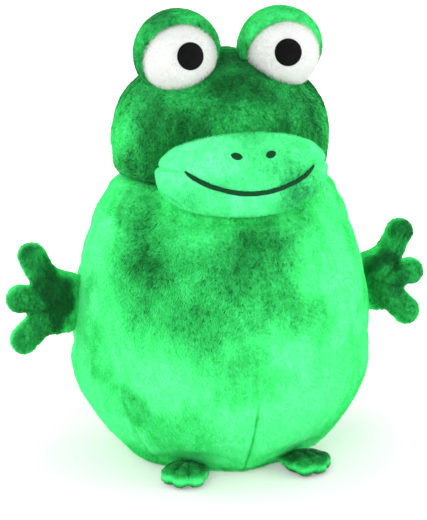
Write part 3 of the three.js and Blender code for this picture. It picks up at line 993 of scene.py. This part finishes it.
def make_muzzle():
    spare = 2 * MM
    piece = net_piece("muzzle_cover", muzzle_field, MUZZLE_LOW - spare, MUZZLE_HIGH + spare, 1.8 * MM)
    stuff(piece, lambda points: against_muzzle(points) > 0, swell=0.02, bending=0.3, cap=3 * MM)
    subdivide(piece)
    relieve(piece, muzzle_seams, 53, 0.7, against=against_muzzle)
    paint(piece, muzzle_nap, muzzle_seams, under_embroidery)
    dress(piece, "torso", PALE, "pale_plush", "muzzle_pad", fill=0.9)
    return piece


# Embroidery and hand stitches

THREAD_SIDES, THREAD_POINTS = 6, 7
THREAD_RADIUS, THREAD_FLATNESS = 0.32 * MM, 0.85
THREAD_DIVE = 0.35 * MM


def threads(name, lines, normals, radius):
    """Closed threads as one piece, from the points along each and the cloth's normal under it."""
    count, steps, _ = lines.shape
    along = unit(np.gradient(lines, axis=1))
    side = unit(np.cross(along, normals[:, None]))
    up = np.cross(along, side)
    turn = 2 * pi * np.arange(THREAD_SIDES)[:, None] / THREAD_SIDES
    out = side[:, :, None] * np.cos(turn) + up[:, :, None] * THREAD_FLATNESS * np.sin(turn)
    thick = np.full((steps, 1, 1), radius)
    thick[[0, -1]] *= 0.5
    rings = lines[:, :, None] + thick * out
    points = np.concatenate([rings.reshape(count, -1, 3), lines[:, :1], lines[:, -1:]], axis=1)
    each, size = tube_faces(steps, THREAD_SIDES), points.shape[1]
    faces = [[first + corner for corner in face] for first in range(0, count * size, size) for face in each]
    return new_piece(name, points.reshape(-1, 3), faces)


class Cloth:
    """A finished piece to sew on."""

    def __init__(self, piece):
        polygons = [polygon.vertices[:] for polygon in piece.data.polygons]
        self.tree = BVHTree.FromPolygons(points_of(piece).tolist(), polygons)

    def nearest(self, points):
        found = [self.tree.find_nearest(Vector(point)) for point in points]
        return np.array([place for place, *_ in found]), np.array([normal for _, normal, *_ in found])

    def sew(self, name, middles, reach, lift, *nodes, radius=THREAD_RADIUS):
        """A stitch over each middle, as far as the reach on both sides, arched off the cloth by lift."""
        (starts, lean), (ends, lean_there) = self.nearest(middles - reach), self.nearest(middles + reach)
        normals = unit(lean + lean_there)
        share = np.linspace(0, 1, THREAD_POINTS)[None, :, None]
        arch = (np.reshape(lift, (-1, 1, 1)) + THREAD_DIVE) * (1 - (2 * share - 1) ** 4) - THREAD_DIVE
        lines = starts[:, None] * (1 - share) + ends[:, None] * share + normals[:, None] * arch
        dress(threads(name, lines, normals, radius), "torso", THREAD, "thread", *nodes)


def make_mouth(cloth):
    """Satin stitches side by side along the smile, shorter at its ends."""
    rng = np.random.default_rng(57)
    x = np.linspace(-1, 1, 120) * MOUTH_HALF_WIDTH
    bulge = 1 - (x / MUZZLE_HALF_WIDTH) ** 2 - (mouth_line(x) / MUZZLE_HALF_HEIGHT) ** 2
    guess = np.stack([x, -MUZZLE_HALF_DEPTH * np.sqrt(bulge), mouth_line(x)], axis=1) + MUZZLE_MIDDLE
    line, normals = cloth.nearest(guess)
    count = int(length(np.diff(line, axis=0)).sum() / STITCH_SPACING)
    line, normals = evenly(rounded(line, 20), count), evenly(rounded(normals, 20), count)
    along = unit(np.gradient(line, axis=0))
    across = unit(np.cross(normals, along))
    from_end = np.minimum(np.arange(count), np.arange(count)[::-1]) * STITCH_SPACING
    half = MOUTH_HALF_BAND * np.sqrt(rise(from_end + 0.4 * MM, MOUTH_TAPER))
    half *= rng.uniform(0.94, 1.06, count)
    reach = (across + 0.25 * along) * half[:, None]
    lift = (0.55 + 0.25 * half / MOUTH_HALF_BAND + rng.uniform(-0.05, 0.05, count)) * MM
    cloth.sew("mouth_embroidery", line, reach, lift, "mouth_stitching")


def make_nostril(cloth, side, label):
    """A small oval of satin stitches."""
    low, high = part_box(label + "_nostril")
    middle, normal = (found[0] for found in cloth.nearest([(low + high) / 2]))
    level = unit(np.cross((0, 0, 1), normal))
    across, up = turned_by(level, np.cross(normal, level), NOSTRIL_SLANT * side)
    places = np.arange(-NOSTRIL_HALF_WIDTH, NOSTRIL_HALF_WIDTH + 0.1 * MM, STITCH_SPACING)[:, None]
    half = NOSTRIL_HALF_HEIGHT * np.sqrt(1.08 - (places / NOSTRIL_HALF_WIDTH) ** 2)
    lift = (0.35 + 0.35 * half[:, 0] / NOSTRIL_HALF_HEIGHT) * MM
    name = label + "_nostril"
    cloth.sew(name + "_embroidery", middle + places * across, half * up, lift, name)


def make_closing(cloth):
    """The hand stitches that close the back seam after stuffing."""
    height = np.arange(CLOSING_LOW, CLOSING_HIGH, CLOSING_SPACING)
    middles = np.stack([0 * height, BELLY_BACK * body_share(height), height], axis=1)
    cloth.sew("back_closing_stitches", middles, CLOSING_REACH, 0.1 * MM, radius=0.35 * MM)


# Arms and feet


def pad_profile(pad):
    """Where each station is, half its width and half its thickness, with the corners worn round."""
    long, root, palm, half = pad.length, pad.root, pad.palm, pad.thickness / 2
    line = [(-2 * ROOT_EDGE, root, ROOT_EDGE), (ROOT_EDGE, root, ROOT_EDGE)]
    line += [(at * long, root + widen * (palm - root), swell * half) for at, widen, swell in PAD_RISE]
    line += [(at * long, width * palm, swell * half) for at, width, swell in PAD_FALL]
    return rounded(evenly(np.array(line), PAD_LINE_POINTS), PAD_WEAR).T


def pad_field(points, pad):
    x, y, z = np.moveaxis(points, -1, 0)
    at, widths, thins = pad_profile(pad)
    width, thin = np.interp(x, at, widths), np.interp(x, at, thins)
    out = np.sqrt((z / width) ** 2 + (y / thin) ** 2) + 1e-9
    steep = np.sqrt((z / width**2) ** 2 + (y / thin**2) ** 2) + 1e-9
    form = smooth_max(out * (out - 1) / steep, x - pad.length, 2 * MM)
    form = smooth_max(form, -ROOT_EDGE - x, 1 * MM)
    for angle, reach in pad.lobes:
        ahead, across = turned_by(x - pad.heart, z, angle)
        along = np.clip(ahead, 0, reach - pad.radius)
        radius = pad.radius * (0.93 + 0.1 * along / (reach - pad.radius))
        lobe = np.hypot(np.hypot(ahead - along, across), y / pad.flatness) - radius
        form = smooth_min(form, lobe, 0.45 * pad.radius)
    return form


class Limb:
    """A stuffed pad sewn on at a joint. In its own frame X points outwards, Y through its thickness and Z
    along its root."""

    def __init__(self, joint_name, along_sign, outwards_sign, pad, seed):
        self.pad, self.seed = pad, seed
        joint = next(joint for joint in frame["joints"] if joint["name"] == joint_name)
        self.along = unit(along_sign * np.array(joint["axis"]))
        level = np.array([self.along[2], 0, -self.along[0]])
        if abs(self.along[2]) < 0.5:
            level = np.array([self.along[1], -self.along[0], 0])
        self.outwards = unit(outwards_sign * level)
        self.through = np.cross(self.along, self.outwards)
        self.origin = np.array(joint["pos_m"]) - (SEAM_GAP + ROOT_EDGE) * self.outwards

    def local(self, points):
        offset = points - self.origin
        return np.stack([offset @ self.outwards, offset @ self.through, offset @ self.along], axis=-1)

    def field(self, points):
        form = clear_of(pad_field(self.local(points), self.pad), body_field(points), 1 * MM)
        return clear_of(form, points[..., 2], 1.5 * MM)

    def held(self, points):
        x, y, _ = self.local(points).T
        return (x < self.pad.sewn) | (np.abs(y) < 0.7 * MM) | (points[:, 2] < 1 * MM)

    def off_root(self, points):
        return rise(self.local(points)[:, 0] - 3 * MM, 4 * MM)

    def seams(self, points):
        """The seam round the edge, and soft creases that run in from between the fingers or toes, darkened
        by painted shade.
        """
        pad, clear = self.pad, self.off_root(points)
        x, y, z = self.local(points).T
        round_edge = np.hypot(x, z) * np.sign(z + 1e-9)
        looks = {"depth": 0.7, "width": 1.1, "pucker": pad.pucker, "every": 7, "dark": 0.1}
        lines = [Seam(np.abs(y), round_edge, self.seed, strength=clear, **looks)]
        # The creases are darkened: painted shade in their folds
        looks = {"depth": pad.crease, "width": 0.3 * pad.radius / MM, "pucker": 0, "dark": 0.4}
        angles = sorted(angle for angle, _ in pad.lobes)
        for low, high in zip(angles, angles[1:]):
            ahead, across = turned_by(x - pad.heart, z, (low + high) / 2)
            fade = bell(ahead - 1.3 * pad.radius, 1.6 * pad.radius) * clear
            lines.append(Seam(np.abs(across), ahead, self.seed, strength=fade, **looks))
        return lines

    def nap(self, points):
        """Darker at the root and lighter at the tips, over a low base that is partly painted shade; lighter
        round the edge, a painted rim highlight.
        """
        x, y, z = self.local(points).T
        reach = np.hypot(x - self.pad.heart, z) / max(reach for _, reach in self.pad.lobes)
        nap = brushed(points, self.pad.nap, 0.17, self.seed, 20 * MM)
        # The band round the edge is a painted rim highlight
        return nap + 0.2 * np.clip(reach, 0, 1) ** 2 + 0.62 * bell(y, 0.17 * self.pad.thickness)

    def make(self, name, body, *nodes):
        corners = [np.array(corner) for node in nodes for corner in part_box(node)]
        low, high = np.min(corners, axis=0) - 4 * MM, np.max(corners, axis=0) + 4 * MM
        piece = net_piece(name, self.field, low, high, self.pad.step)
        stuff(piece, self.held, swell=self.pad.swell, bending=0.02, cap=2.5 * MM)
        subdivide(piece)
        relieve(piece, self.seams, self.seed + 5, self.pad.lumps, self.off_root)
        keep_above(piece, SEAM_GAP)
        paint(piece, self.nap, self.seams)
        dress(piece, body, GREEN, "green_plush", *nodes, fill=0.7)


def make_limbs():
    for side, label in ((1, "left"), (-1, "right")):
        arm, foot = label + "_arm", label + "_foot"
        arm_nodes = [f"{arm}_{piece}" for piece in ("front_panel", "back_panel", "filling")]
        foot_nodes = [f"{foot}_{piece}" for piece in ("top_panel", "sole_panel", "filling")]
        Limb(arm + "_fold", 1, side, ARM, 71 + side).make(arm + "_cover", arm, *arm_nodes)
        Limb(foot + "_lift", -1, 1, FOOT, 81 + side).make(foot + "_cover", foot, *foot_nodes)


make_closing(Cloth(make_body()))
make_head()
muzzle = Cloth(make_muzzle())
make_mouth(muzzle)
make_nostril(muzzle, 1, "left")
make_nostril(muzzle, -1, "right")
for eye in EYES:
    make_eye(eye)
make_limbs()


# Pile

PILE_DENSITY = 3.0  # on each square millimetre
PILE_RADIUS = 0.085 * MM
PILE_POINTS = 4
PILE_SPREAD = (0.7, 1.15)
BRUSHED_WAY = (0.25, 0, -1)
DRIFT_SIZE, DRIFT, SCATTER = 26 * MM, 0.9, 0.35
TUFT_SIZE = (1.0 * MM, 1.0 * MM, 1.6 * MM)
# How tall the pile is, how flat it lies and how dark its ruffled tufts are, the last two from 0 to 1
LONG_PILE, MEDIUM_PILE, SHORT_PILE = (2.6 * MM, 0.45, 0.95), (1.6 * MM, 0.85, 0.6), (1.3 * MM, 0.85, 0.4)


class Roots:
    """Evenly scattered places on a cover, and what the cover has there."""

    def __init__(self, piece, rng):
        self.mesh = piece.data
        self.mesh.calc_loop_triangles()
        triangles = listed(self.mesh.loop_triangles, "vertices", np.int32)
        corner = points_of(piece)[triangles]
        area = 0.5 * length(np.cross(corner[:, 1] - corner[:, 0], corner[:, 2] - corner[:, 0]))
        count = int(area.sum() / MM**2 * PILE_DENSITY)
        self.corners = triangles[rng.choice(len(triangles), count, p=area / area.sum())]
        a, b = rng.random((2, count))
        folded = a + b > 1
        a[folded], b[folded] = 1 - a[folded], 1 - b[folded]
        self.weights = np.stack([1 - a - b, a, b], axis=1)
        self.places, self.normals = self.at(points_of(piece)), unit(self.at(normals_of(piece)))

    def at(self, values):
        return np.einsum("ij,ij...->i...", self.weights, values[self.corners])

    def painted(self, name):
        return self.at(listed(self.mesh.attributes[name].data, "value", np.float32, 1)[:, 0])


def pile_lines(roots, left, tall, lean, rng, seed):
    """Hairs that rise from their roots and bend the way they are brushed, each with a share left of its
    height."""
    place, normal = roots.places, roots.normals
    drift = np.stack([fractal(place, DRIFT_SIZE, 3, seed + i) for i in range(3)], axis=-1)
    way = np.array(BRUSHED_WAY) + DRIFT * drift + SCATTER * rng.normal(size=place.shape)
    way = unit(way - (way * normal).sum(axis=1, keepdims=True) * normal)
    along = np.linspace(0, 1, PILE_POINTS)[None, :, None]
    reach = (tall * rng.uniform(*PILE_SPREAD, len(place)) * left)[:, None, None]
    lift, lie = (1 - 0.58 * lean) * along, lean * (0.4 * along + 0.6 * along**2)
    return place[:, None] + reach * (normal[:, None] * lift + way[:, None] * lie)


def grow_pile(name, body, material, looks, seed):
    """Short pile over a cover, for renders. The cover underneath has the same colours by itself."""
    tall, lean, flecks = looks
    rng = np.random.default_rng(seed)
    roots = Roots(bpy.data.objects[name], rng)
    # The nap and seam values bring the cover's painted shade and rim highlights onto the pile
    nap, seam = roots.painted("nap"), roots.painted("seam")
    left = 1 - np.clip(roots.painted("bare") + 1.2 * seam, 0, 0.85)
    lines = pile_lines(roots, left, tall, lean, rng, seed).astype(np.float32)
    ruffled = np.clip((0.95 - nap) / 0.5, 0.1, 1)
    nap -= flecks * ruffled * np.maximum(noise(roots.places, TUFT_SIZE, seed + 7), 0)
    radius = np.tile(PILE_RADIUS * (1 - 0.75 * np.linspace(0, 1, PILE_POINTS)), len(lines))
    pile = bpy.data.hair_curves.new(name + "_pile")
    pile.add_curves([PILE_POINTS] * len(lines))
    pile.position_data.foreach_set("vector", lines.ravel())
    thick = pile.attributes.get("radius") or pile.attributes.new("radius", "FLOAT", "POINT")
    thick.data.foreach_set("value", radius.astype(np.float32))
    for kind, values in (("nap", nap), ("seam", seam)):
        pile.attributes.new(kind, "FLOAT", "CURVE").data.foreach_set("value", values.astype(np.float32))
    pile.materials.append(material)
    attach(add_object(name + "_pile", pile), body)


def grow_all_pile():
    covers = [(name, "torso", GREEN_PILE, MEDIUM_PILE) for name in ("body_cover", "head_cover")]
    covers.append(("muzzle_cover", "torso", PALE_PILE, MEDIUM_PILE))
    for label in ("left", "right"):
        covers.append((label + "_eye_cover", "torso", WHITE_PILE, LONG_PILE))
        covers.append((label + "_eye_hood_cover", "torso", GREEN_PILE, MEDIUM_PILE))
        covers.append((label + "_arm_cover", label + "_arm", GREEN_PILE, SHORT_PILE))
        covers.append((label + "_foot_cover", label + "_foot", GREEN_PILE, SHORT_PILE))
    for number, cover in enumerate(covers):
        grow_pile(*cover, 120 + 10 * number)


grow_all_pile()


# Camera, floor and lights

PHOTO_HEIGHT = 520
PHOTO_MM_PER_PIXEL = 0.61
CAMERA_AZIMUTH, CAMERA_ELEVATION = radians(-15), radians(15)
CAMERA_DISTANCE = 1.1
CAMERA_TARGET = Vector((-0.004, 0.001, 0.1185))
LIGHT_TARGET = Vector((0, 0, 0.12))
# Where each light is, how wide it is and its power
LIGHTS = {
    "key": ((-0.7, -1.1, 0.85), 0.7, 6),
    "side": ((1.1, -0.7, 0.5), 0.9, 5.5),
    "low_front": ((-0.2, -1.3, 0.12), 0.6, 2.8),
    "left_rim": ((-1.2, 0.75, 0.5), 0.9, 8),
    "right_rim": ((1.2, 0.75, 0.5), 0.9, 4),
}
FLOOR_COLOR = (0.86, 0.81, 0.85)
# Within the first distance the floor glows only at the least strength, a painted shadow round the toy, and
# it glows fully past the second
GLOW_START, GLOW_END, PAINTED_SHADOW_GLOW = 0.09, 0.28, 0.27
SKY_LIGHT = 0.65


def aim(thing, direction):
    thing.rotation_euler = direction.to_track_quat("-Z", "Y").to_euler()


def add_camera():
    camera = add_object("camera", bpy.data.cameras.new("camera"))
    bpy.context.scene.camera = camera
    level = cos(CAMERA_ELEVATION)
    across, ahead = sin(CAMERA_AZIMUTH) * level, cos(CAMERA_AZIMUTH) * level
    back = Vector((across, -ahead, sin(CAMERA_ELEVATION)))
    camera.location = CAMERA_TARGET + back * CAMERA_DISTANCE
    aim(camera, -back)
    tall = PHOTO_HEIGHT * PHOTO_MM_PER_PIXEL * MM
    camera.data.lens = camera.data.sensor_width * CAMERA_DISTANCE / tall
    camera.data.clip_start, camera.data.clip_end = 0.05, 20


def add_light(name, place, size, power):
    light = bpy.data.lights.new(name, "AREA")
    light.shape, light.size, light.energy = "DISK", size, power
    lamp = add_object(name, light)
    lamp.location = place
    aim(lamp, LIGHT_TARGET - Vector(place))


def background_rays(nodes):
    """1 for the rays that show the background, also in reflections and through glass."""
    rays = nodes.add("LightPath").outputs
    mirrored = nodes.math("MAXIMUM", rays["Is Glossy Ray"], rays["Is Transmission Ray"])
    return nodes.math("MAXIMUM", rays["Is Camera Ray"], mirrored)


def add_floor():
    """A pale floor with a soft shadow, partly cast by the lamps and partly painted as a dimmer glow near
    the toy, which fades to pure white round it.
    """
    bpy.ops.mesh.primitive_plane_add(size=16, location=(0, 0, 0))
    floor = bpy.context.object
    floor.name = "floor"
    material, shader, nodes = surface("pale_floor", FLOOR_COLOR)
    place = nodes.add("TexCoord").outputs["Object"]
    far = nodes.add("VectorMath", {0: place}, operation="LENGTH").outputs["Value"]
    # Less glow near the toy: a painted shadow
    away = nodes.span(far, GLOW_START, GLOW_END, PAINTED_SHADOW_GLOW, 1.0)
    glow = nodes.math("MULTIPLY", background_rays(nodes), away)
    nodes.fill(shader, {"Emission Color": (1, 1, 1, 1), "Emission Strength": glow, "Specular IOR Level": 0})
    floor.data.materials.append(material)


def add_sky():
    """Soft light from all round, and a white background."""
    world = bpy.data.worlds.new("studio")
    bpy.context.scene.world = world
    world.use_nodes = True
    world.node_tree.nodes.clear()
    nodes = Nodes(world)
    fill, white = (
        nodes.add("Background", {"Color": (1, 1, 1, 1), "Strength": strength}).outputs["Background"]
        for strength in (SKY_LIGHT, 1.0)
    )
    nodes.add("OutputWorld", {"Surface": nodes.mix(background_rays(nodes), fill, white)})


add_camera()
add_floor()
add_sky()
for name, (place, size, power) in LIGHTS.items():
    add_light(name, place, size, power)
bpy.context.scene.view_settings.view_transform = "Standard"
